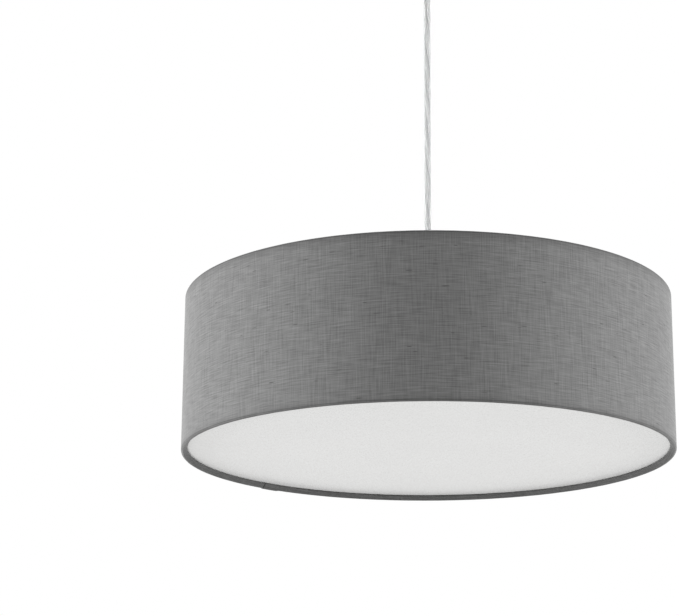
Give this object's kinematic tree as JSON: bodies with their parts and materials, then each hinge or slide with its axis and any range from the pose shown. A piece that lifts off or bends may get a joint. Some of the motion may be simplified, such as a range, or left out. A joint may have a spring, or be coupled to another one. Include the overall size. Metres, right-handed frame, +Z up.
{
  "type": "drum pendant lamp",
  "caption": "Ceiling pendant lamp with a grey fabric drum shade, opal diffuser, clear cable, canopy and sockets on a spider frame.",
  "frame": {"origin": "centre of the ceiling plane: the middle of the crossbar's upper face, level with the rim of the canopy", "axes": "+Z up, out of the mounting face into the ceiling; the lamp hangs along -Z; +X along the crossbar and along the first socket"},
  "size_m": [0.3809, 0.381, 0.442],
  "materials": {
    "zinc": "zinc plated steel, satin",
    "satin_nickel": "brushed nickel plate",
    "ring_steel": "white powder coated wire and strip",
    "cluster_paint": "white painted steel",
    "rubber": "matt",
    "nylon": "natural nylon",
    "clear_sheath": "clear flexible PVC over silvery twisted cores",
    "core_insulation": "PVC core insulation",
    "connector_plastic": "moulded",
    "terminal_plastic": "moulded",
    "ground_screw": "green passivated",
    "phenolic": "moulded thermoset",
    "shell_aluminium": "drawn, bright",
    "contact_brass": "sprung strip",
    "liner": "white styrene sheet",
    "fabric": "grey linen-look plain weave with slubs",
    "opal": "opal acrylic, satin"
  },
  "bodies": {
    "ceiling_mount": {"crossbar": "zinc", "crossbar_studs": "zinc", "stud_nuts": "zinc", "cap_nuts": "satin_nickel", "ground_screw": "ground_screw", "canopy_cup": "satin_nickel", "gland_body": "satin_nickel", "gland_cap": "satin_nickel", "gland_sleeve": "rubber", "gland_nut": "zinc", "cable_tail": "clear_sheath", "core_tails": "core_insulation", "wire_connectors": "connector_plastic"},
    "bend": {"cable_bend": "clear_sheath"},
    "cable": {"pendant_cable": "clear_sheath"},
    "lamp": {"grip_body": "satin_nickel", "grip_cap": "satin_nickel", "grip_sleeve": "rubber", "grip_screw": "nylon", "lamp_cable_tail": "clear_sheath", "lamp_cores": "core_insulation", "stem_tube": "zinc", "stem_nuts": "zinc", "spider_hub": "ring_steel", "spider_arms": "ring_steel", "top_ring": "ring_steel", "top_hem": "fabric", "cluster_cup": "cluster_paint", "cluster_cover": "cluster_paint", "cover_screws": "zinc", "cover_posts": "zinc", "terminal_block": "terminal_plastic", "socket_leads": "core_insulation", "socket_nipples": "zinc", "socket_nuts": "zinc", "socket_cap_1": "phenolic", "socket_cap_2": "phenolic", "socket_cap_3": "phenolic", "socket_body_1": "phenolic", "socket_body_2": "phenolic", "socket_body_3": "phenolic", "screw_shell_1": "shell_aluminium", "screw_shell_2": "shell_aluminium", "screw_shell_3": "shell_aluminium", "centre_contact_1": "contact_brass", "centre_contact_2": "contact_brass", "centre_contact_3": "contact_brass", "shade_liner": "liner", "shade_fabric": "fabric", "seam_strip": "fabric", "bottom_ring": "ring_steel", "diffuser_ledge": "ring_steel", "bottom_hem": "fabric"},
    "diffuser": {"diffuser": "opal"}
  },
  "joints": [
    {"name": "swing_side", "type": "hinge", "parent": "ceiling_mount", "child": "bend", "pos_m": [0, 0, -0.044], "axis": [0, 1, 0], "range_deg": [-25, 25]},
    {"name": "swing_front", "type": "hinge", "parent": "bend", "child": "cable", "pos_m": [0, 0, -0.044], "axis": [1, 0, 0], "range_deg": [-25, 25]},
    {"name": "cable_twist", "type": "hinge", "parent": "cable", "child": "lamp", "pos_m": [0, 0, -0.292], "axis": [0, 0, 1], "range_deg": [-180, 180]},
    {"name": "diffuser_lift", "type": "slide", "parent": "lamp", "child": "diffuser", "axis": [0, 0, 1], "range_m": [0, 0.04]}
  ]
}
